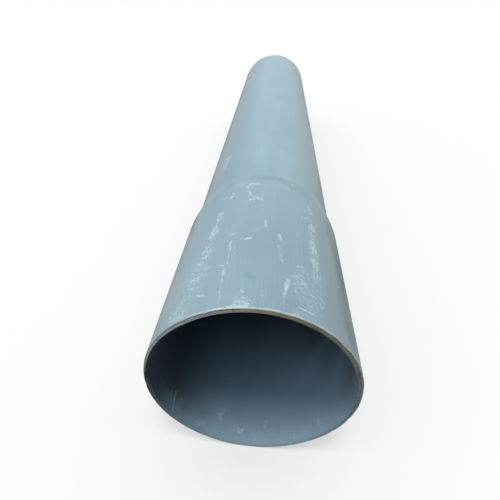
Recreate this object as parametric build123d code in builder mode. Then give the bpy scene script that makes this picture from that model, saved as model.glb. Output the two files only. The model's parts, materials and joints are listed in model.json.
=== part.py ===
from build123d import *
import math
import os

# Borewell casing pipe in rigid PVC: one extruded length, blown out at one end into a socket and
# bevelled at the other into the spigot that goes into the next pipe's socket.
# It lies on the floor along +Y, its socket's mouth towards -Y, and the origin is on the floor under
# the middle of its length. Sizes are in millimetres.

# Pipe
overall_length = 1150.0
pipe_diameter = 180.0
pipe_wall = 4.9

# Socket, from the mouth inwards
socket_length = 198.0  # straight run that takes the next pipe's spigot
socket_clearance = 0.4  # all round that spigot
socket_wall = 4.7  # a little thinner than the pipe, from the stretching
shoulder_length = 56.0  # run over which the socket comes down to the pipe
mouth_edge_radius = 0.9  # outer edge of the mouth, worn round
mouth_lead_in = 0.5  # chamfer on the mouth's inner edge

# Spigot bevel
bevel_land = 2.4  # wall left at the very end
bevel_angle = 15.0  # degrees to the pipe's axis

# Radii
pipe_radius = pipe_diameter / 2
bore_radius = pipe_radius - pipe_wall
socket_bore_radius = pipe_radius + socket_clearance
socket_radius = socket_bore_radius + socket_wall

# Stations along the pipe, from the socket's mouth
shoulder_end = socket_length + shoulder_length
bevel_depth = pipe_wall - bevel_land
bevel_length = bevel_depth / math.tan(math.radians(bevel_angle))
bevel_start = overall_length - bevel_length

# Half-section plane: its x runs along the pipe from the mouth and its y is the radius
section_plane = Plane(
    origin=(0, -overall_length / 2, socket_radius),
    x_dir=(0, 1, 0),
    z_dir=(1, 0, 0),
)
pipe_axis = Axis(section_plane.origin, section_plane.x_dir)


def shoulder(wide_radius, narrow_radius):
    """Draw the S of two equal arcs that leaves the socket and meets the pipe without a kink."""
    middle = (socket_length + shoulder_length / 2, (wide_radius + narrow_radius) / 2)
    TangentArc((socket_length, wide_radius), middle, tangent=(1, 0))
    TangentArc((shoulder_end, narrow_radius), middle, tangent=(-1, 0))


with BuildPart() as casing_pipe:
    with BuildSketch(section_plane):
        with BuildLine():
            # Outside, from the mouth to the spigot's bevel
            Line((0, socket_radius), (socket_length, socket_radius))
            shoulder(socket_radius, pipe_radius)
            Line((shoulder_end, pipe_radius), (bevel_start, pipe_radius))
            Line((bevel_start, pipe_radius), (overall_length, bore_radius + bevel_land))
            # Spigot's end face
            Line((overall_length, bore_radius + bevel_land), (overall_length, bore_radius))
            # Inside, back to the mouth
            Line((overall_length, bore_radius), (shoulder_end, bore_radius))
            shoulder(socket_bore_radius, bore_radius)
            Line((socket_length, socket_bore_radius), (0, socket_bore_radius))
            # Sawn face of the mouth
            Line((0, socket_bore_radius), (0, socket_radius))
        make_face()
    revolve(axis=pipe_axis)

    # Edges of the mouth
    mouth_edges = edges().filter_by(GeomType.CIRCLE).group_by(Axis.Y)[0].sort_by(SortBy.RADIUS)
    fillet(mouth_edges[-1], mouth_edge_radius)
    chamfer(mouth_edges[0], mouth_lead_in)

casing_pipe.part.label = "casing_pipe"
os.makedirs("parts", exist_ok=True)
export_step(casing_pipe.part, "parts/casing_pipe.step")
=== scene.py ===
import json
import math
from types import SimpleNamespace

import bpy
import numpy as np
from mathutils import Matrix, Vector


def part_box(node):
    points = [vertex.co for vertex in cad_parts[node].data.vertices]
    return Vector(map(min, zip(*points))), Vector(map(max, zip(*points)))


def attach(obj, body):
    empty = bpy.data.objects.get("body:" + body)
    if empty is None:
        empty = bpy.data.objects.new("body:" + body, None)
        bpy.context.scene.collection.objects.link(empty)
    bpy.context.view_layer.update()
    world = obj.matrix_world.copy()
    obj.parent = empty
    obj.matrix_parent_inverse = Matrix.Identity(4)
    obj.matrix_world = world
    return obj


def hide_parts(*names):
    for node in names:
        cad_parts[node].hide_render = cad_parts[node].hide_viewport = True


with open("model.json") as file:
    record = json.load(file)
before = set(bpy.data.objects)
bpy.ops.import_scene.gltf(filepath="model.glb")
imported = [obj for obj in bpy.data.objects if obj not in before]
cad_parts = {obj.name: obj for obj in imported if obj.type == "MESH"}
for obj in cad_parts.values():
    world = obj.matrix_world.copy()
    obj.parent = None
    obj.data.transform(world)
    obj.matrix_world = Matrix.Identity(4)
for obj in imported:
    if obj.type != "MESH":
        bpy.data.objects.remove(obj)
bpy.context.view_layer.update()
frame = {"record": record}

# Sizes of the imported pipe, in metres
MM = 0.001
mounts = {mount["name"]: mount for mount in frame["record"]["mounts"]}
low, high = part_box("casing_pipe")
mouth_y = low.y
pipe_length = high.y - low.y
axis_height = mounts["socket"]["pos_m"][2]
socket_radius = axis_height  # the pipe lies on its socket
socket_bore_radius = mounts["socket"]["dims"]["r_mm"] * MM
pipe_radius = mounts["spigot"]["dims"]["r_mm"] * MM
bore_radius = mounts["main_bore"]["dims"]["r_mm"] * MM


def wall_span(name):
    """Stations, from the mouth, where a round mount's wall begins and ends."""
    middle = mounts[name]["pos_m"][1] - mouth_y
    half = mounts[name]["dims"]["length_mm"] * MM / 2
    return middle - half, middle + half


socket_length = wall_span("socket")[1]
shoulder_end, bevel_start = wall_span("spigot")
BEVEL_LAND = 2.4 * MM  # wall left at the spigot's end

# Mouth, cut by hand with a saw: the cut wanders, its outer corner is worn and chipped, and the saw
# left grooves where it changed its line. Angles are in degrees from the crown, to the right as seen
# from the mouth.
CUT_WANDER = 0.45 * MM
CORNER_WEAR = (0.6 * MM, 1.3 * MM)  # least and most rounding of the outer corner
INNER_CORNER = 0.12 * MM  # the inner corner is nearly sharp
CHIP_COUNT = 34
CHIP_DEPTH = (0.15 * MM, 0.7 * MM)  # least and most
CHIP_HALF_WIDTH = (0.5, 1.6)  # least and most, in degrees
CUT_WAVES = range(1, 6)  # waves round the pipe that the cut wanders in
WEAR_WAVES = range(2, 60)  # waves round the pipe that the wear comes and goes in
CUT_SEED = 1
WEAR_SEED = 2
CHIP_SEED = 5
GROOVES = [
    # first angle, last angle, share of the wall from the inside, half width as such a share, depth
    (-62, -6, 0.74, 0.13, 0.8 * MM),
    (-3, 58, 0.88, 0.09, 0.35 * MM),
    (64, 150, 0.45, 0.12, 0.3 * MM),
]
GROOVE_ENDS = (34, 3)  # degrees over which a groove deepens and ends

# Mesh: rings along the section, each with this many columns
COLUMNS = 900
columns = np.linspace(-np.pi, np.pi, COLUMNS, endpoint=False)


def ripple(waves, seed):
    """A smooth random curve round the pipe, from 0 to 1, made of waves that close on themselves."""
    dice = np.random.default_rng(seed)
    curve = sum(np.sin(wave * columns + dice.uniform(0, 2 * np.pi)) / math.sqrt(wave) for wave in waves)
    return (curve - curve.min()) / np.ptp(curve)


def chips():
    """Depth of the small chips along the outer corner of the mouth."""
    dice = np.random.default_rng(CHIP_SEED)
    depth = np.zeros(COLUMNS)
    for _ in range(CHIP_COUNT):
        away = columns - dice.uniform(-np.pi, np.pi)
        away = np.abs((away + np.pi) % (2 * np.pi) - np.pi)
        half_width = math.radians(dice.uniform(*CHIP_HALF_WIDTH))
        deep = dice.uniform(*CHIP_DEPTH)
        depth = np.maximum(depth, deep * np.clip(1 - (away / half_width) ** 2, 0, 1))
    return depth


def grooves(share):
    """Depth of the saw's grooves at a share of the wall from the inside, round the pipe."""
    degrees = np.degrees(columns)
    depth = np.zeros((len(share), COLUMNS))
    for first, last, middle, half_width, deep in GROOVES:
        deepens = np.clip((degrees - first) / GROOVE_ENDS[0], 0, 1)
        ends = np.clip((last - degrees) / GROOVE_ENDS[1], 0, 1)
        across = np.clip(1 - ((share - middle) / half_width) ** 2, 0, 1)
        depth = np.maximum(depth, deep * deepens * ends * across)
    return depth


def shoulder_height(share):
    """The S of the shoulder, from 1 at the socket to 0 at the pipe, made of two equal arcs."""
    return np.where(share < 0.5, 1 - 2 * share**2, 2 * (1 - share) ** 2)


# Strips of the wall in order round its section: rings, material, share of the unrolled map's height, and
# whether the strip starts at a sharp edge
STRIPS = {
    "corner": (9, "outside", 0.02, False),
    "socket": (6, "outside", 0.36, False),
    "shoulder": (22, "outside", 0.07, False),
    "barrel": (6, "outside", 0.20, False),
    "bevel": (2, "outside", 0.02, True),
    "spigot_end": (3, "sawn", 0.01, True),
    "bore": (6, "inside", 0.06, True),
    "inner_shoulder": (18, "inside", 0.02, False),
    "socket_bore": (6, "inside", 0.15, False),
    "inner_corner": (3, "inside", 0.01, True),
    "cut_face": (24, "sawn", 0.03, True),
}
MAP_GAP = 0.004
MATERIALS = ("outside", "inside", "sawn")


def section():
    """Stations and radii of each strip's rings. A strip ends where the next one starts, and the last one
    ends at the first one's start."""
    least_wear, most_wear = CORNER_WEAR
    cut = CUT_WANDER * ripple(CUT_WAVES, CUT_SEED)
    wear = least_wear + (most_wear - least_wear) * ripple(WEAR_WAVES, WEAR_SEED) + chips()
    face_start = socket_bore_radius + INNER_CORNER
    face_end = socket_radius - wear
    bevel_end = bore_radius + BEVEL_LAND
    rings = {
        name: np.linspace(0, 1, strip[0], endpoint=False)[:, None] for name, strip in STRIPS.items()
    }

    def between(name, start, end):
        return start + (end - start) * rings[name]

    turn = np.pi / 2 * (1 - rings["corner"])
    down = shoulder_height(rings["shoulder"])
    up = shoulder_height(1 - rings["inner_shoulder"])
    stations_and_radii = {
        "corner": (cut + wear * (1 - np.sin(turn)), socket_radius - wear * (1 - np.cos(turn))),
        "socket": (between("socket", cut + wear, socket_length), socket_radius),
        "shoulder": (
            between("shoulder", socket_length, shoulder_end),
            pipe_radius + (socket_radius - pipe_radius) * down,
        ),
        "barrel": (between("barrel", shoulder_end, bevel_start), pipe_radius),
        "bevel": (between("bevel", bevel_start, pipe_length), between("bevel", pipe_radius, bevel_end)),
        "spigot_end": (pipe_length, between("spigot_end", bevel_end, bore_radius)),
        "bore": (between("bore", pipe_length, shoulder_end), bore_radius),
        "inner_shoulder": (
            between("inner_shoulder", shoulder_end, socket_length),
            bore_radius + (socket_bore_radius - bore_radius) * up,
        ),
        "socket_bore": (between("socket_bore", socket_length, cut + INNER_CORNER), socket_bore_radius),
        "inner_corner": (
            between("inner_corner", cut + INNER_CORNER, cut),
            between("inner_corner", socket_bore_radius, face_start),
        ),
        "cut_face": (cut + grooves(rings["cut_face"]), between("cut_face", face_start, face_end)),
    }
    full = np.zeros(COLUMNS)
    parts = [np.broadcast_arrays(*stations_and_radii[name], full)[:2] for name in STRIPS]
    stations, radii = (np.concatenate(arrays) for arrays in zip(*parts))
    return stations, radii


def map_heights():
    """First and last height on the unrolled map of the faces after each ring."""
    heights = []
    start = MAP_GAP
    for count, _, share, _ in STRIPS.values():
        step = share / count
        heights += [(start + step * ring, start + step * (ring + 1)) for ring in range(count)]
        start += share + MAP_GAP
    return np.array(heights)


def pipe_mesh():
    stations, radii = section()
    counts = [strip[0] for strip in STRIPS.values()]
    rings = sum(counts)
    points = np.stack(
        [radii * np.sin(columns), mouth_y + stations, axis_height + radii * np.cos(columns)], axis=-1
    )
    ring = np.arange(rings)[:, None]
    column = np.arange(COLUMNS)[None, :]
    next_ring = (ring + 1) % rings
    next_column = (column + 1) % COLUMNS
    corners = [(ring, column), (ring, next_column), (next_ring, next_column), (next_ring, column)]
    faces = np.stack([a * COLUMNS + b for a, b in corners], axis=-1).reshape(-1, 4)
    mesh = bpy.data.meshes.new("pipe_wall")
    mesh.from_pydata(points.reshape(-1, 3).tolist(), [], faces.tolist())
    mesh.polygons.foreach_set("use_smooth", np.ones(len(faces), bool))
    slots = np.repeat([MATERIALS.index(strip[1]) for strip in STRIPS.values()], counts)
    mesh.polygons.foreach_set("material_index", np.repeat(slots, COLUMNS))

    # Sharp edges: the whole first ring of some strips
    first_rings = np.cumsum([0] + counts[:-1])
    sharp_rings = first_rings[[strip[3] for strip in STRIPS.values()]]
    ends = np.empty(2 * len(mesh.edges), np.int32)
    mesh.edges.foreach_get("vertices", ends)
    start_ring, end_ring = (ends.reshape(-1, 2) // COLUMNS).T
    mesh.edges.foreach_set("use_edge_sharp", (start_ring == end_ring) & np.isin(start_ring, sharp_rings))

    # Unrolled map: once round the pipe from left to right, each strip in a band of its own
    heights = map_heights()[:, None, :]
    left = np.broadcast_to(column / COLUMNS, (rings, COLUMNS))
    right = left + 1 / COLUMNS
    start = np.broadcast_to(heights[:, :, 0], (rings, COLUMNS))
    end = np.broadcast_to(heights[:, :, 1], (rings, COLUMNS))
    spots = np.stack([left, start, right, start, right, end, left, end], axis=-1)
    mesh.uv_layers.new(name="OFBake").data.foreach_set("uv", spots.ravel())
    mesh.update()
    return mesh


# Nodes
def node(tree, kind, inputs=None, **settings):
    """Adds a node; an input is a value, or a socket to link."""
    made = tree.nodes.new(kind)
    for name, value in settings.items():
        setattr(made, name, value)
    for key, value in (inputs or {}).items():
        if isinstance(value, bpy.types.NodeSocket):
            tree.links.new(value, made.inputs[key])
        else:
            made.inputs[key].default_value = value
    return made


def maths(tree, operation, *values):
    return node(tree, "ShaderNodeMath", dict(enumerate(values)), operation=operation).outputs[0]


def vectors(tree, operation, *values):
    return node(tree, "ShaderNodeVectorMath", dict(enumerate(values)), operation=operation).outputs


def times(tree, *values):
    """Several values multiplied."""
    product = values[0]
    for value in values[1:]:
        product = maths(tree, "MULTIPLY", product, value)
    return product


def most(tree, *values):
    """The largest of several values."""
    top = values[0]
    for value in values[1:]:
        top = maths(tree, "MAXIMUM", top, value)
    return top


def ramp(tree, value, start, end, low=0.0, high=1.0):
    """Goes smoothly from low to high as the value goes from start to end."""
    inputs = {"Value": value, "From Min": start, "From Max": end, "To Min": low, "To Max": high}
    return node(tree, "ShaderNodeMapRange", inputs, interpolation_type="SMOOTHSTEP").outputs[0]


def ramps(tree, value, *ranges):
    """Several ramps of one value, multiplied."""
    return times(tree, *[ramp(tree, value, *limits) for limits in ranges])


def mix(tree, share, first, second):
    """Colour between two others."""
    made = node(tree, "ShaderNodeMix", {0: share, 6: first, 7: second}, data_type="RGBA")
    return made.outputs[2]


def scaled(tree, place, factors):
    return vectors(tree, "MULTIPLY", place, factors)[0]


def noise(tree, place, across, detail=3.0, roughness=0.55, stretch=(1, 1, 1)):
    """Cloudy noise from about 0.2 to 0.8 with clouds this wide, in the units of the place."""
    factors = tuple(1 / (across * factor) for factor in stretch)
    spread = scaled(tree, place, factors)
    inputs = {"Vector": spread, "Scale": 1.0, "Detail": detail, "Roughness": roughness}
    return node(tree, "ShaderNodeTexNoise", inputs)


def cloud(tree, *place_and_size, **shape):
    return noise(tree, *place_and_size, **shape).outputs["Fac"]


def ragged(tree, spot, reach, across):
    """The spot pushed about by up to the reach, for marks with uneven edges."""
    push = noise(tree, spot, across, detail=2.0).outputs["Color"]
    push = vectors(tree, "SUBTRACT", push, (0.5, 0.5, 0.5))[0]
    return vectors(tree, "ADD", spot, scaled(tree, push, (2 * reach, 2 * reach, 0)))[0]


def on_pipe(tree):
    """Where a point is, in millimetres and degrees: its place in space, its angle from the crown, its
    station from the mouth, and its spots on the unrolled socket and on the unrolled cut face."""
    space = node(tree, "ShaderNodeTexCoord").outputs["Object"]
    space = scaled(tree, space, (1 / MM, 1 / MM, 1 / MM))
    axes = node(tree, "ShaderNodeSeparateXYZ", {0: space}).outputs
    up = maths(tree, "SUBTRACT", axes["Z"], axis_height / MM)
    turn = maths(tree, "ARCTAN2", axes["X"], up)
    around = maths(tree, "MULTIPLY", turn, socket_radius / MM)
    station = maths(tree, "SUBTRACT", axes["Y"], mouth_y / MM)
    radius = maths(tree, "SQRT", maths(tree, "MULTIPLY_ADD", up, up, times(tree, axes["X"], axes["X"])))
    out = maths(tree, "SUBTRACT", radius, socket_bore_radius / MM)
    return SimpleNamespace(
        space=space,
        angle=maths(tree, "DEGREES", turn),
        station=station,
        flat=node(tree, "ShaderNodeCombineXYZ", {"X": around, "Y": station}).outputs[0],
        face=node(tree, "ShaderNodeCombineXYZ", {"X": around, "Y": out}).outputs[0],
    )


def zone(tree, at, angles, stations):
    """How strongly a point lies in a soft zone: a ramp round the pipe times a ramp along it."""
    return times(tree, ramp(tree, at.angle, *angles), ramp(tree, at.station, *stations))


def unrolled(angle, along):
    """An angle from the crown, with a station or a height on the cut face, as an unrolled spot."""
    return math.radians(angle) * socket_radius / MM, along, 0


def stroke_group():
    """Group that tells how strongly a spot lies on a straight stroke with soft sides."""
    group = bpy.data.node_groups.new("stroke", "ShaderNodeTree")
    sockets = {
        "Spot": "Vector",
        "Start": "Vector",
        "Run": "Vector",
        "Half Width": "Float",
        "Strength": "Float",
    }
    for name, kind in sockets.items():
        group.interface.new_socket(name, in_out="INPUT", socket_type="NodeSocket" + kind)
    group.interface.new_socket("Mark", in_out="OUTPUT", socket_type="NodeSocketFloat")
    given = node(group, "NodeGroupInput").outputs
    offset = vectors(group, "SUBTRACT", given["Spot"], given["Start"])[0]
    along = vectors(group, "DOT_PRODUCT", offset, given["Run"])["Value"]
    whole = vectors(group, "DOT_PRODUCT", given["Run"], given["Run"])["Value"]
    share = node(group, "ShaderNodeClamp", {"Value": maths(group, "DIVIDE", along, whole)}).outputs[0]
    nearest = node(group, "ShaderNodeVectorMath", {0: given["Run"], "Scale": share}, operation="SCALE")
    away = vectors(group, "DISTANCE", offset, nearest.outputs[0])["Value"]
    mark = ramp(group, away, given["Half Width"], 0.0)
    node(group, "NodeGroupOutput", {"Mark": times(group, mark, given["Strength"])})
    return group


stroke = stroke_group()


def strokes(tree, spot, lines):
    """The strongest of many strokes. A line is its points, half width and strength, and a point is an
    angle with a station or a height on the cut face."""
    marks = []
    for points, half_width, strength in lines:
        for first, last in zip(points, points[1:]):
            start, end = unrolled(*first), unrolled(*last)
            run = tuple(b - a for a, b in zip(start, end))
            inputs = {
                "Spot": spot,
                "Start": start,
                "Run": run,
                "Half Width": half_width,
                "Strength": strength,
            }
            marks.append(node(tree, "ShaderNodeGroup", inputs, node_tree=stroke).outputs[0])
    return most(tree, *marks)


PATCH_CORE = 0.25  # share of a patch that has its full strength
STIPPLE_GRAIN = 2.0  # how much the grain adds to a mark
STIPPLE_LEVEL = 1.65  # sum of mark and grain where the cover is half
STIPPLE_FADE = 0.2  # a mark weaker than this fades out


def patch(tree, spot, angle, station, half_width, half_length):
    """How strongly a spot lies in a soft oval patch."""
    offset = vectors(tree, "SUBTRACT", spot, unrolled(angle, station))[0]
    offset = scaled(tree, offset, (1 / half_width, 1 / half_length, 0))
    return ramp(tree, vectors(tree, "LENGTH", offset)["Value"], start=1.0, end=PATCH_CORE)


def stippled(tree, mark, grain, soft):
    """A mark as grainy cover: solid where it is strong, broken into specks where it is weak."""
    cover = maths(tree, "MULTIPLY_ADD", grain, STIPPLE_GRAIN, mark)
    cover = ramp(tree, cover, start=STIPPLE_LEVEL - soft, end=STIPPLE_LEVEL + soft)
    return times(tree, cover, ramp(tree, mark, start=0.0, end=STIPPLE_FADE))


def cuts(tree, spot, direction):
    """Thin short cuts that all run about one way, in degrees from round the pipe towards along it."""
    turn = {"Vector": spot, "Angle": math.radians(-direction)}
    turned = node(tree, "ShaderNodeVectorRotate", turn, rotation_type="Z_AXIS").outputs[0]
    grain = cloud(tree, turned, across=1.3, detail=2.0, stretch=(7, 1, 1))
    return ramp(tree, grain, start=0.56, end=0.68)


def painted(name):
    """A new material with its shader."""
    material = bpy.data.materials.new(name)
    material.use_nodes = True
    return material, material.node_tree, material.node_tree.nodes["Principled BSDF"]


BUMP_STRENGTH = 0.6


def finish(tree, shader, colour, roughness, height, relief):
    """Links a material's colour, its roughness and its relief, whose depth is in metres."""
    tree.links.new(colour, shader.inputs["Base Color"])
    tree.links.new(roughness, shader.inputs["Roughness"])
    inputs = {"Height": height, "Distance": relief, "Strength": BUMP_STRENGTH}
    bump = node(tree, "ShaderNodeBump", inputs)
    tree.links.new(bump.outputs[0], shader.inputs["Normal"])


# Outside
PVC_DARK = (0.252, 0.390, 0.460, 1)
PVC_LIGHT = (0.290, 0.436, 0.508, 1)
# Barrel colours, lighter and bluer than the socket's as painted sheen
BARREL_SHEEN_DARK = (0.262, 0.425, 0.507, 1)
BARREL_SHEEN_LIGHT = (0.295, 0.468, 0.553, 1)
SCUFF = (0.56, 0.72, 0.78, 1)
DIRT = (0.140, 0.170, 0.160, 1)
# Painted shade on the flanks and shoulder, and also the colour of the smudges
PAINTED_SHADE_AND_SMUDGE = (0.180, 0.318, 0.392, 1)
SHOULDER_SHADE = (0.155, 0.280, 0.340, 1)
PALE_PVC = (0.36, 0.56, 0.65, 1)
WORN_CREAM = (0.67, 0.745, 0.69, 1)
WORN_WHITE = (0.66, 0.76, 0.82, 1)

# White scuffs on the socket: points as (angle, station), half width and strength
SCUFFS = [
    # curl below the shoulder, and the speck beside it
    ([(-4.5, 211), (-9.5, 211.5)], 4.4, 0.9),
    ([(-9.5, 211.5), (-11.6, 204.5), (-11.2, 193.5)], 3.4, 0.66),
    ([(-11.2, 193.5), (-8.5, 182.5), (-5, 175.5)], 3.2, 0.66),
    ([(-6, 176.5), (-1.5, 170.5)], 5.0, 0.9),
    ([(-8.4, 171), (-7, 171.5)], 4.0, 1.0),
    # slanted marks left of the curl
    ([(-23, 179.5), (-21, 193.5)], 3.6, 0.75),
    ([(-29, 193.5), (-26, 184.5)], 6.0, 0.5),
    # soft spots right of the curl
    ([(21, 226.5), (22, 234.5)], 7.0, 0.65),
    ([(25.5, 154.5), (33, 158.5)], 3.4, 0.6),
    ([(26, 148.5), (25.8, 155.5)], 2.4, 0.6),
    ([(34, 172.5), (32.5, 184.5)], 4.6, 0.8),
    # flecks down the middle
    ([(-4.5, 155.5), (-3.5, 153.5)], 3.4, 0.6),
    ([(-2, 139.5), (-1.8, 134.5)], 3.2, 0.65),
    ([(-3.5, 107.5), (-1.5, 109.5)], 3.6, 0.6),
    ([(2.4, 125.5), (2.6, 116.5)], 3.0, 0.85),
    ([(10.8, 104.5), (11.6, 96.5)], 3.4, 0.75),
    ([(10.5, 88.5), (12.5, 60.5)], 4.0, 0.5),
    ([(22, 122.5), (22.2, 110.5)], 2.6, 0.55),
    ([(-18.5, 103), (-14, 104.5)], 2.8, 0.8),
    ([(-11, 92), (-8.5, 92.5)], 2.2, 0.7),
    ([(-8.5, 92.5), (-5.5, 94)], 3.2, 1.1),
    # long scratches left of the crown
    ([(-16.8, 91.5), (-14.8, 90.5)], 1.3, 0.7),
    ([(-16.6, 90.5), (-16.0, 78.5)], 1.8, 0.9),
    ([(-16.0, 78.5), (-16.2, 50.5)], 1.1, 0.75),
    ([(-13.6, 86.5), (-13.2, 64.5)], 1.2, 0.6),
    ([(-20, 56.5), (-17.6, 54.5)], 1.8, 0.75),
    ([(-18.0, 55.5), (-17.2, 42.5)], 2.2, 0.85),
    ([(-17.3, 44.5), (-17.3, 24.5), (-17, 7.5)], 1.2, 0.6),
    ([(-29.5, 22.5), (-25.5, 20)], 2.0, 0.9),
    # bright streak and thin ones right of the crown
    ([(15.3, 39.5), (14.4, 29.5)], 4.2, 0.95),
    ([(14.4, 29.5), (13.2, 18.5)], 3.2, 0.85),
    ([(13.1, 17.5), (12.9, 6.5)], 1.3, 0.6),
    ([(3.0, 20.5), (3.8, 4.5)], 1.3, 0.65),
    ([(4.4, 22.5), (4.8, 8.5)], 1.3, 0.45),
    ([(-6.8, 19), (-5.8, 18.5)], 2.2, 0.9),
    # white rubbed into the corner of the mouth
    ([(-12, 1.5), (-9, 2.5)], 3.0, 0.8),
    ([(-9.5, 7), (-5.5, 7.5)], 2.2, 1.0),
    ([(-8, 1.5), (-3.5, 2)], 2.8, 1.1),
    ([(-5.5, 11.5), (-4.5, 10.5)], 2.2, 1.0),
    ([(-4.5, 5.5), (-2.5, 4.5)], 2.0, 0.9),
    # longest cuts of the hatching
    ([(20.3, 63), (24, 64)], 2.2, 0.85),
    ([(17, 47), (21, 48.5)], 1.8, 0.8),
    ([(20.5, 48.5), (26, 41.5)], 1.8, 0.75),
    ([(18.5, 37.5), (24.5, 31.5)], 1.8, 0.65),
    ([(19, 28.5), (25, 22.5)], 1.8, 0.65),
    ([(23.5, 43.5), (26.5, 35.5)], 1.8, 0.65),
    ([(27, 50.5), (30, 45.5)], 1.8, 0.65),
    ([(21, 11), (29, 9.5)], 2.2, 1.0),
    ([(25, 18.5), (29, 13.5)], 1.8, 0.65),
]
# Rubbed areas: angle, station, half width, half length and strength
RUBBED = [
    (-28, 146.5, 9, 22, 0.58),
    (-29.5, 118.5, 10, 30, 0.62),
    (-31, 86.5, 12, 28, 0.54),
    (-34, 54.5, 20, 46, 0.44),
    (-40, 8.5, 18, 20, 0.5),
    (33, 139.5, 9, 28, 0.6),
    (32.5, 106.5, 9, 34, 0.63),
    (32.5, 78.5, 9, 24, 0.63),
    (32, 60.5, 9, 20, 0.52),
    (33.5, 28.5, 9, 34, 0.4),
    (8, 211.5, 22, 7, 0.3),
    (-6, 5.5, 15, 10, 0.5),
    (22, 3.5, 24, 8, 0.45),
]
# Areas of short cuts: angle, station, half width, half length, direction and strength
HATCHED = [
    (24.5, 36.5, 17, 36, -38, 0.88),
    (25, 32.5, 15, 30, -66, 0.7),
    (25, 38.5, 14, 34, 8, 0.6),
    (-34, 52.5, 20, 46, 12, 0.85),
    (-37, 38.5, 20, 50, 62, 0.6),
    (-40, 12.5, 18, 22, 22, 0.8),
    (33, 74.5, 8, 50, 80, 0.6),
    (-6, 6.5, 16, 12, 4, 0.9),
]
# Painted shade on top of the shoulder: angle, station, half width and half length
SHOULDER_TOP_SHADE = (0, 231, 70, 21)
SHOULDER_TOP_SHADE_STRENGTH = 0.72
# Painted shade on the shoulder's sides, and smudges: strokes like the scuffs
SHOULDER_SIDE_SHADE = [([(-30, 222), (-76, 220)], 25.0, 0.95), ([(26, 224), (76, 222)], 27.0, 0.75)]
SMUDGES = [([(-5, 38.5), (-3, 36.5)], 6.0, 0.55), ([(-2, 29.5), (-1, 32.5)], 3.5, 0.35)]
# Faint pale streaks along the barrel
PALE_STREAKS = [
    ([(15, 250), (16, 330)], 17.0, 0.45),
    ([(-6, 300), (-3, 380)], 14.0, 0.22),
    ([(6, 430), (10, 600)], 15.0, 0.2),
    ([(-39.5, 348), (-40.5, 334)], 5.5, 0.75),
    ([(-41, 326), (-41.5, 308)], 6.0, 0.4),
]
# Ranges of the barrel's painted sheen, painted shade, dirt, and the worn edge with its painted highlight:
# first and last angle or station, and the strength at each, which is 0 and 1 where none is written
BARREL_SHEEN_STATIONS = (40, 330)
LEFT_FLANK_SHADE_ANGLES = (-8, -38, 0.0, 0.9)
LEFT_FLANK_SHADE_STATIONS = (20, 260, 0.15, 1.0)
RIGHT_FLANK_SHADE_ANGLES = (24, 48, 0.0, 0.42)
RIGHT_FLANK_SHADE_STATIONS = (220, 320, 1.0, 0.55)
LEFT_DIRT_ANGLES = (-34, -66, 0.0, 0.5)
RIGHT_DIRT_ANGLES = (27, 62, 0.0, 0.57)
RIGHT_DIRT_STATIONS = (60, 420, 1.0, 0.7)
RIGHT_DIRT_AT_MOUTH = (2, 26, 0.75, 1.0)
UNDERSIDE_DIRT = (85, 150, 1.0, 0.35)
SPECK_STATIONS = (250, 120, 0.15, 1.0)
WORN_STATIONS = (3.5, 2.4)
WORN_UNEVEN = 3.4  # millimetres by which the worn edge comes and goes
WORN_LIT_LEFT_ANGLES = (-46, -18, 0.15, 1.0)
WORN_LIT_RIGHT_ANGLES = (70, 18, 0.45, 1.0)
CREAM_ANGLES = (-22, -12)
# Shares of the lines along the pipe and of the broad clouds in its tone
LINE_TONE = 0.5
CLOUD_TONE = 0.7
PVC_ROUGHNESS = 0.33
PVC_ROUGHNESS_SPREAD = 0.12
SCUFF_ROUGHNESS = 0.62
WORN_ROUGHNESS = 0.7
DIRT_ROUGHNESS = 1.2
# Relief, and the shares of it that grain, lines and scuffs have
PVC_RELIEF = 0.12 * MM
GRAIN_HEIGHT = 0.25
LINE_HEIGHT = 0.5
SCUFF_DEPTH = 0.6


def scuffed(tree, at):
    """How white the outside is rubbed: strokes broken up by flecks, cloudy patches and short cuts."""
    spot = ragged(tree, at.flat, reach=1.2, across=2.4)
    flecks = cloud(tree, at.flat, across=2.2, detail=4.0, roughness=0.75, stretch=(1, 1.4, 1))
    pressure = cloud(tree, at.flat, across=7, detail=2.0)
    pressure = ramp(tree, pressure, start=0.34, end=0.62, low=0.5)
    marks = stippled(tree, times(tree, strokes(tree, spot, SCUFFS), pressure), flecks, soft=0.5)
    torn = ragged(tree, spot, reach=4.0, across=9)
    streaks = cloud(tree, at.flat, across=1.8, detail=4.0, roughness=0.7, stretch=(1, 4, 1))
    areas = [times(tree, patch(tree, torn, *area[:4]), area[4]) for area in RUBBED]
    rubbed = stippled(tree, most(tree, *areas), streaks, soft=0.3)
    bent = ragged(tree, at.flat, reach=1.5, across=22)
    hatched = [
        times(tree, patch(tree, torn, *area[:4]), cuts(tree, bent, area[4]), area[5]) for area in HATCHED
    ]
    specks = cloud(tree, at.flat, across=2.0, detail=2.0, stretch=(1, 2.5, 1))
    specks = ramp(tree, specks, start=0.70, end=0.78, high=0.6)
    specks = times(tree, specks, ramp(tree, at.station, *SPECK_STATIONS))
    return most(tree, marks, rubbed, specks, *hatched)


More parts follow.
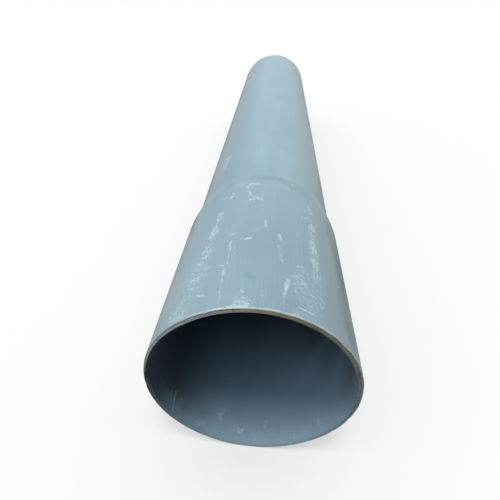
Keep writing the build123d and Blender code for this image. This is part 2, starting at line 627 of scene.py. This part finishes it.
def outside_pvc():
    """Extruded PVC: faint lines along it, white where it was rubbed, dirty down its sides, with painted
    shade on its sides and shoulder, painted sheen along the barrel and a painted highlight on the worn
    corner of the mouth.
    """
    material, tree, shader = painted("rigid_pvc")
    at = on_pipe(tree)
    uneven = cloud(tree, at.space, across=70)
    lines = cloud(tree, at.space, across=2.2, detail=4.0, stretch=(1, 80, 1))
    grain = cloud(tree, at.space, across=0.9, stretch=(1, 4, 1))
    tone = maths(tree, "MULTIPLY_ADD", lines, LINE_TONE, times(tree, uneven, CLOUD_TONE))
    tone = ramp(tree, tone, start=0.42, end=0.78)
    socket_colour = mix(tree, tone, PVC_DARK, PVC_LIGHT)
    # The barrel's lighter, bluer colour towards the far end is painted sheen
    barrel_sheen_colour = mix(tree, tone, BARREL_SHEEN_DARK, BARREL_SHEEN_LIGHT)
    colour = mix(tree, ramp(tree, at.station, *BARREL_SHEEN_STATIONS), socket_colour, barrel_sheen_colour)

    # Painted shade on top of the shoulder, along both sides of the pipe, and on the shoulder's sides
    shade_spot = ragged(tree, at.flat, reach=11, across=26)
    top_shade = times(tree, patch(tree, shade_spot, *SHOULDER_TOP_SHADE), SHOULDER_TOP_SHADE_STRENGTH)
    left_shade = zone(tree, at, LEFT_FLANK_SHADE_ANGLES, LEFT_FLANK_SHADE_STATIONS)
    right_shade = zone(tree, at, RIGHT_FLANK_SHADE_ANGLES, RIGHT_FLANK_SHADE_STATIONS)
    colour = mix(tree, most(tree, top_shade, left_shade, right_shade), colour, PAINTED_SHADE_AND_SMUDGE)
    colour = mix(tree, strokes(tree, shade_spot, SHOULDER_SIDE_SHADE), colour, SHOULDER_SHADE)

    # Dirt down both sides; on the right there is less of it along the barrel and at the mouth
    right_dirt = zone(tree, at, RIGHT_DIRT_ANGLES, RIGHT_DIRT_STATIONS)
    right_dirt = times(tree, right_dirt, ramp(tree, at.station, *RIGHT_DIRT_AT_MOUTH))
    left_dirt = ramp(tree, at.angle, *LEFT_DIRT_ANGLES)
    patchy = cloud(tree, at.space, across=12, detail=5.0, stretch=(1, 7, 1))
    patchy = ramp(tree, patchy, start=0.3, end=0.7, low=0.85, high=1.1)
    under = ramp(tree, maths(tree, "ABSOLUTE", at.angle), *UNDERSIDE_DIRT)
    sides = times(tree, most(tree, right_dirt, left_dirt), patchy, under)
    colour = mix(tree, sides, colour, DIRT)
    smudged = strokes(tree, ragged(tree, at.flat, reach=2.0, across=3.3), SMUDGES)
    colour = mix(tree, smudged, colour, PAINTED_SHADE_AND_SMUDGE)
    streaked = strokes(tree, ragged(tree, at.flat, reach=3.0, across=20), PALE_STREAKS)
    colour = mix(tree, streaked, colour, PALE_PVC)

    # White scuffs, fainter where the dirt covers them
    white = times(tree, scuffed(tree, at), ramp(tree, sides, start=0.2, end=0.7, low=1.0, high=0.35))
    colour = mix(tree, white, colour, SCUFF)

    # Worn corner of the mouth, paler on top as a painted highlight
    edge = cloud(tree, at.space, across=5.0, detail=5.0, roughness=0.65)
    edge = maths(tree, "MULTIPLY_ADD", edge, WORN_UNEVEN, at.station)
    pale_share = ramps(tree, at.angle, WORN_LIT_RIGHT_ANGLES, WORN_LIT_LEFT_ANGLES)
    worn_lit_edge = times(tree, ramp(tree, edge, *WORN_STATIONS), pale_share)
    worn_colour = mix(tree, ramp(tree, at.angle, *CREAM_ANGLES), WORN_WHITE, WORN_CREAM)
    colour = mix(tree, worn_lit_edge, colour, worn_colour)

    roughness = maths(tree, "MULTIPLY_ADD", uneven, PVC_ROUGHNESS_SPREAD, PVC_ROUGHNESS)
    rough_marks = [
        times(tree, white, SCUFF_ROUGHNESS),
        times(tree, worn_lit_edge, WORN_ROUGHNESS),
        times(tree, sides, DIRT_ROUGHNESS),
    ]
    roughness = most(tree, roughness, *rough_marks)
    height = maths(tree, "MULTIPLY_ADD", grain, GRAIN_HEIGHT, times(tree, lines, LINE_HEIGHT))
    height = maths(tree, "SUBTRACT", height, times(tree, white, SCUFF_DEPTH))
    finish(tree, shader, colour, roughness, height, PVC_RELIEF)
    return material


# Inside
BORE_DARK = (0.250, 0.375, 0.485, 1)
BORE_LIGHT = (0.285, 0.420, 0.540, 1)
# Painted shade deep in the bore
BORE_DEEP_SHADE = (0.200, 0.295, 0.365, 1)
BORE_LIP = (0.310, 0.455, 0.555, 1)
# Painted shade for the bore's sides
BORE_SHADE = (0.058, 0.078, 0.097, 1)
BORE_BLUE = (0.275, 0.450, 0.620, 1)
# Near-black painted shade at the edges of the mouth
BLACK_SHADE = (0.016, 0.020, 0.023, 1)
# Painted shade just inside the mouth, and pale scuffs: points as (angle, station), half width and
# strength
LIP_SHADE = [
    ([(-46, 1), (-84, 1)], 26.0, 0.7),
    ([(-84, 1), (-104, 1)], 24.0, 0.45),
    ([(46, 1), (80, 1)], 13.0, 0.4),
]
BORE_SCUFFS = [
    ([(-123.5, 25), (-124, 13), (-124.5, 5)], 1.4, 1.0),
    ([(-120, 21), (-120.5, 11)], 1.2, 0.4),
    ([(-159.5, 26), (-160.5, 21)], 6.0, 0.65),
    ([(-162, 33), (-161, 26)], 4.5, 0.45),
    ([(-150, 10), (-145, 7)], 6.5, 0.45),
    ([(-175.5, 13.5), (-173.5, 12.5)], 4.6, 0.8),
    ([(-173, 18), (-172.5, 11)], 3.2, 0.4),
    ([(178, 16), (177.5, 11)], 3.2, 0.4),
    ([(169, 25), (169.5, 19)], 4.0, 0.45),
    ([(157, 23), (157.5, 17)], 3.4, 0.4),
    ([(132, 17), (131.5, 10)], 3.6, 0.5),
    ([(150, 8), (149.5, 3)], 3.2, 0.5),
    ([(118, 11), (117, 5)], 2.4, 0.45),
    ([(-174, 82), (-170, 74)], 9.0, 0.3),
]
# Ranges in the bore, written like those of the outside
BLUE_STATIONS = (22, 70, 0.0, 0.6)
DEEP_SHADE_STATIONS = (100, 190)
LEFT_SHADE_BELOW = (-164, -114)
LEFT_SHADE_ABOVE = (-28, -56, 0.0, 0.95)
RIGHT_SHADE_BELOW = (124, 84)
RIGHT_SHADE_ABOVE = (16, 50, 0.0, 0.75)
RIGHT_SHADE_STATIONS = (4, 32, 0.45, 1.0)
NEAR_SHADE_ANGLES = (146, 108, 0.0, 0.66)
NEAR_SHADE_STATIONS = (24, 88)
DEEPER_SHADE_ANGLES = (168, 116, 0.0, 0.75)
DEEPER_SHADE_STATIONS = (70, 120)
DEEPER_SHADE_ABOVE = (20, 60)
SHADE_STATIONS = (420, 160, 0.25, 1.0)
LIP_STATIONS = (34, 6)
LIP_UNEVEN = 10.0  # millimetres by which the pale lip comes and goes
PALE_LIP_ANGLES = (92, 132, 0.0, 0.5)
BORE_SPECK_STATIONS = (110, 20)
BORE_SCUFF_STRENGTH = 0.75
BORE_ROUGHNESS = 0.42
BORE_ROUGHNESS_SPREAD = 0.15
BORE_RELIEF = 0.1 * MM


def inside_pvc():
    """The bore: bluer and duller than the outside, pale inside the mouth, with painted shade up its sides
    and deep inside.
    """
    material, tree, shader = painted("pvc_inside")
    at = on_pipe(tree)
    uneven = cloud(tree, at.space, across=62)
    lines = cloud(tree, at.space, across=3.3, detail=4.0, stretch=(1, 66, 1))
    colour = mix(tree, ramp(tree, uneven, start=0.3, end=0.7), BORE_DARK, BORE_LIGHT)
    colour = mix(tree, ramp(tree, lines, start=0.5, end=0.75, high=0.3), colour, BORE_LIGHT)
    colour = mix(tree, ramp(tree, at.station, *BLUE_STATIONS), colour, BORE_BLUE)
    # Darker deep in the bore: painted shade
    colour = mix(tree, ramp(tree, at.station, *DEEP_SHADE_STATIONS), colour, BORE_DEEP_SHADE)

    # Painted shade up both sides of the socket, reaching lower on the right as it goes deeper
    left = ramps(tree, at.angle, LEFT_SHADE_BELOW, LEFT_SHADE_ABOVE)
    right = ramps(tree, at.angle, RIGHT_SHADE_BELOW, RIGHT_SHADE_ABOVE)
    right = times(tree, right, ramp(tree, at.station, *RIGHT_SHADE_STATIONS))
    near = zone(tree, at, NEAR_SHADE_ANGLES, NEAR_SHADE_STATIONS)
    deep = zone(tree, at, DEEPER_SHADE_ANGLES, DEEPER_SHADE_STATIONS)
    deeper = times(tree, most(tree, near, deep), ramp(tree, at.angle, *DEEPER_SHADE_ABOVE))
    shaded = most(tree, left, right, deeper)
    shaded = times(tree, shaded, ramp(tree, at.station, *SHADE_STATIONS))
    colour = mix(tree, shaded, colour, BORE_SHADE)

    # Pale lip inside the mouth, and the painted shade on it
    lip = ramp(tree, cloud(tree, at.flat, across=12, detail=4.0), start=0.3, end=0.7)
    lip = ramp(tree, maths(tree, "MULTIPLY_ADD", lip, LIP_UNEVEN, at.station), *LIP_STATIONS)
    pale_share = ramp(tree, maths(tree, "ABSOLUTE", at.angle), *PALE_LIP_ANGLES)
    pale_share = most(tree, pale_share, ramp(tree, shaded, start=0.0, end=0.4, low=1.0, high=0.0))
    colour = mix(tree, times(tree, lip, pale_share), colour, BORE_LIP)
    colour = mix(tree, strokes(tree, at.flat, LIP_SHADE), colour, BLACK_SHADE)

    # Pale scuffs and specks
    spot = ragged(tree, at.flat, reach=1.6, across=2.8)
    flecks = cloud(tree, at.flat, across=2.4, detail=4.0, roughness=0.65)
    flecks = ramp(tree, flecks, start=0.32, end=0.64, low=0.2, high=1.35)
    white = ramp(tree, times(tree, strokes(tree, spot, BORE_SCUFFS), flecks), start=0.06, end=1.0)
    specks = cloud(tree, at.flat, across=2.9, detail=2.0, stretch=(1, 2.8, 1))
    specks = ramp(tree, specks, start=0.66, end=0.8, high=0.45)
    white = most(tree, white, times(tree, specks, ramp(tree, at.station, *BORE_SPECK_STATIONS)))
    colour = mix(tree, times(tree, white, BORE_SCUFF_STRENGTH), colour, SCUFF)
    roughness = maths(tree, "MULTIPLY_ADD", uneven, BORE_ROUGHNESS_SPREAD, BORE_ROUGHNESS)
    height = maths(tree, "SUBTRACT", lines, times(tree, white, SCUFF_DEPTH))
    finish(tree, shader, colour, roughness, height, BORE_RELIEF)
    return material


# Cut faces: colour by angle from the crown, with dirt on the right; the near-black on the left below the
# middle is painted shade, and the pale on the upper left and underneath is painted light
SAWN_TINTS_AND_LIGHT = [
    (-180, (0.60, 0.78, 0.90, 1)),
    (-150, (0.40, 0.56, 0.65, 1)),
    (-132, (0.25, 0.37, 0.44, 1)),
    (-110, (0.10, 0.14, 0.165, 1)),
    (-86, (0.026, 0.040, 0.044, 1)),
    (-66, (0.70, 0.83, 0.87, 1)),
    (-28, (0.54, 0.64, 0.65, 1)),
    (0, (0.44, 0.455, 0.39, 1)),
    (30, (0.26, 0.28, 0.23, 1)),
    (78, (0.25, 0.28, 0.27, 1)),
    (106, (0.29, 0.40, 0.47, 1)),
    (126, (0.44, 0.61, 0.72, 1)),
    (180, (0.60, 0.78, 0.90, 1)),
]
# Dirt on the cut faces, and the painted shade in the saw's grooves
SAWN_DIRT_AND_SHADE = (0.075, 0.072, 0.060, 1)
SAWN_PALE = (0.58, 0.62, 0.61, 1)
SPIGOT_CUT = (0.36, 0.43, 0.46, 1)
# Painted shade in the saw's grooves and at the inner edge on the left: points as (angle, share of the
# wall from the inside), half width and strength
GROOVE_SHADE = [
    ([(-64, 0.75), (-44, 0.72)], 1.2, 0.25),
    ([(-44, 0.72), (-16, 0.70)], 1.2, 0.65),
    ([(-16, 0.70), (-11, 0.72)], 0.9, 1.2),
    ([(-11.5, 0.74), (-7, 0.68)], 1.3, 1.8),
    ([(0, 0.90), (24, 0.90), (56, 0.86)], 0.8, 0.6),
    ([(26, 0.80), (33, 0.82)], 1.0, 0.7),
    ([(64, 0.45), (140, 0.45)], 0.7, 0.5),
]
EDGE_SHADE = [([(-38, -0.3), (-50, -0.08), (-60, 0.06), (-70, 0.12), (-88, 0.16)], 2.2, 4.0)]
# Upper part of the face, where the saw's marks show: first and last angle, and the strength at each
UPPER_LEFT_ANGLES = (-82, -64, 0.2, 1.0)
UPPER_RIGHT_ANGLES = (112, 80, 0.2, 1.0)
FULL_TURN = 360
SAWN_ROUGHNESS = 0.7
SAWN_ROUGHNESS_SPREAD = 0.2
SAWN_SPECULAR = 0.15
SAWN_RELIEF = 0.25 * MM


def sawn_pvc():
    """Cut faces: pale and scored by the saw, with dirt rubbed in, painted shade on the left and in the
    grooves, and painted light underneath and on the upper left.
    """
    material, tree, shader = painted("sawn_pvc")
    at = on_pipe(tree)
    turn_share = maths(tree, "MULTIPLY_ADD", at.angle, 1 / FULL_TURN, 0.5)
    tints_and_light = node(tree, "ShaderNodeValToRGB", {"Fac": turn_share})
    stops = tints_and_light.color_ramp.elements
    while len(stops) < len(SAWN_TINTS_AND_LIGHT):
        stops.new(0.5)
    for stop, (degrees, tint) in zip(stops, SAWN_TINTS_AND_LIGHT):
        stop.position = degrees / FULL_TURN + 0.5
        stop.color = tint
    half_way = pipe_length / MM / 2
    mouth = ramp(tree, at.station, half_way, 0)
    colour = mix(tree, mouth, SPIGOT_CUT, tints_and_light.outputs[0])
    blotch = cloud(tree, at.space, across=6.2, detail=5.0, roughness=0.65)
    teeth = cloud(tree, at.space, across=1.1, detail=4.0, roughness=0.6, stretch=(4, 1, 0.6))
    above = ramps(tree, at.angle, UPPER_LEFT_ANGLES, UPPER_RIGHT_ANGLES)
    scored = times(tree, ramp(tree, teeth, start=0.5, end=0.72, high=0.5), above)
    colour = mix(tree, scored, colour, SAWN_PALE)
    dirty = times(tree, ramp(tree, blotch, start=0.46, end=0.74, high=0.55), above)
    colour = mix(tree, dirty, colour, SAWN_DIRT_AND_SHADE)
    spot = ragged(tree, at.face, reach=0.35, across=2.0)
    wall = (socket_radius - socket_bore_radius) / MM
    # Painted shade in the saw's grooves and at the inner edge on the left
    for marks, tint in ((GROOVE_SHADE, SAWN_DIRT_AND_SHADE), (EDGE_SHADE, BLACK_SHADE)):
        lines = []
        for points, half_width, strength in marks:
            lines.append(([(angle, share * wall) for angle, share in points], half_width, strength))
        colour = mix(tree, times(tree, strokes(tree, spot, lines), mouth), colour, tint)
    roughness = maths(tree, "MULTIPLY_ADD", blotch, SAWN_ROUGHNESS_SPREAD, SAWN_ROUGHNESS)
    shader.inputs["Specular IOR Level"].default_value = SAWN_SPECULAR
    finish(tree, shader, colour, roughness, teeth, SAWN_RELIEF)
    return material


def add(name, data):
    """A new object in the scene."""
    made = bpy.data.objects.new(name, data)
    bpy.context.scene.collection.objects.link(made)
    return made


# Pipe
mesh = pipe_mesh()
finishes = {"outside": outside_pvc(), "inside": inside_pvc(), "sawn": sawn_pvc()}
for name in MATERIALS:
    mesh.materials.append(finishes[name])
pipe = add("pipe_wall", mesh)
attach(pipe, "root")
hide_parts("casing_pipe")


# Stage: a pale floor under a soft dome of light
def seen_directly(tree):
    """1 for rays that show the stage itself: from the camera, a reflection or glass."""
    path = node(tree, "ShaderNodeLightPath").outputs
    return most(tree, path["Is Camera Ray"], path["Is Glossy Ray"], path["Is Transmission Ray"])


FLOOR_REACH = 30.0
FLOOR_BOUNCE = (0.25, 0.24, 0.22, 1)
FLOOR_PALE = (0.5, 0.5, 0.5, 1)


def floor_paint():
    """Pale where it is seen, darker for the light that it throws back at the pipe."""
    paint = bpy.data.materials.new("floor")
    paint.use_nodes = True
    tree = paint.node_tree
    tree.nodes.clear()
    bounce = node(tree, "ShaderNodeBsdfDiffuse", {"Color": FLOOR_BOUNCE})
    shown = node(tree, "ShaderNodeBsdfDiffuse", {"Color": FLOOR_PALE})
    glow = node(tree, "ShaderNodeEmission", {"Color": FLOOR_PALE})
    pale = node(tree, "ShaderNodeAddShader", {0: shown.outputs[0], 1: glow.outputs[0]})
    either = {0: seen_directly(tree), 1: bounce.outputs[0], 2: pale.outputs[0]}
    surface = node(tree, "ShaderNodeMixShader", either)
    node(tree, "ShaderNodeOutputMaterial", {"Surface": surface.outputs[0]})
    return paint


floor_corners = [(FLOOR_REACH * x, FLOOR_REACH * y, 0) for x, y in ((-1, -1), (1, -1), (1, 1), (-1, 1))]
floor_mesh = bpy.data.meshes.new("floor")
floor_mesh.from_pydata(floor_corners, [], [(0, 1, 2, 3)])
floor_mesh.materials.append(floor_paint())
floor = add("floor", floor_mesh)

# The dome is bright above, behind and to the left of the pipe and dark in front of its mouth; a soft
# sun stands nearly overhead
DOME_AXIS = (-0.51, 0.647, 0.567)
DOME_EDGE = (-0.364, 0.202)  # how far along the axis the dome is still dark, and already bright
DOME_LEVEL = 0.88
SUN_TILT = 10.6  # in degrees
SUN_WIDTH = 19.0  # in degrees
SUN_LEVEL = 0.285
WHITE = (1, 1, 1, 1)


def studio_world():
    """The dome lights the pipe, and what is seen of it is a white backdrop."""
    world = bpy.data.worlds.new("studio")
    world.use_nodes = True
    tree = world.node_tree
    tree.nodes.clear()
    direction = node(tree, "ShaderNodeTexCoord").outputs["Generated"]
    facing = vectors(tree, "DOT_PRODUCT", direction, DOME_AXIS)["Value"]
    level = ramp(tree, facing, *DOME_EDGE, high=DOME_LEVEL)
    dome = node(tree, "ShaderNodeBackground", {"Color": WHITE, "Strength": level})
    backdrop = node(tree, "ShaderNodeBackground", {"Color": WHITE, "Strength": 1.0})
    either = {0: seen_directly(tree), 1: dome.outputs[0], 2: backdrop.outputs[0]}
    surface = node(tree, "ShaderNodeMixShader", either)
    node(tree, "ShaderNodeOutputWorld", {"Surface": surface.outputs[0]})
    return world


bpy.context.scene.world = studio_world()
sun_data = bpy.data.lights.new("sun", "SUN")
sun_data.angle = math.radians(SUN_WIDTH)
sun_data.energy = SUN_LEVEL * math.pi
sun = add("sun", sun_data)
sun.rotation_euler = (math.radians(SUN_TILT), 0, 0)

# Camera, fitted to the photograph's outline of the pipe
IMAGE_SIDE = 500
FOCAL_PIXELS = 391.6
SENSOR_WIDTH = 36.0  # in millimetres
CAMERA_FROM_MOUTH = (0.0050, -0.2100, 0.2945)  # in metres, from the middle of the mouth
TILT = 54.88  # in degrees
HEADING = 6.205  # in degrees
SHIFT = 0.04
NEAREST = 0.01  # in metres
camera_data = bpy.data.cameras.new("camera")
camera_data.sensor_width = SENSOR_WIDTH
camera_data.lens = SENSOR_WIDTH * FOCAL_PIXELS / IMAGE_SIDE
camera_data.shift_x = SHIFT
camera_data.clip_start = NEAREST
camera = add("camera", camera_data)
camera.location = (
    CAMERA_FROM_MOUTH[0],
    mouth_y + CAMERA_FROM_MOUTH[1],
    axis_height + CAMERA_FROM_MOUTH[2],
)
camera.rotation_euler = (math.radians(TILT), 0, math.radians(HEADING))
bpy.context.scene.camera = camera

bpy.context.scene.view_settings.view_transform = "Standard"
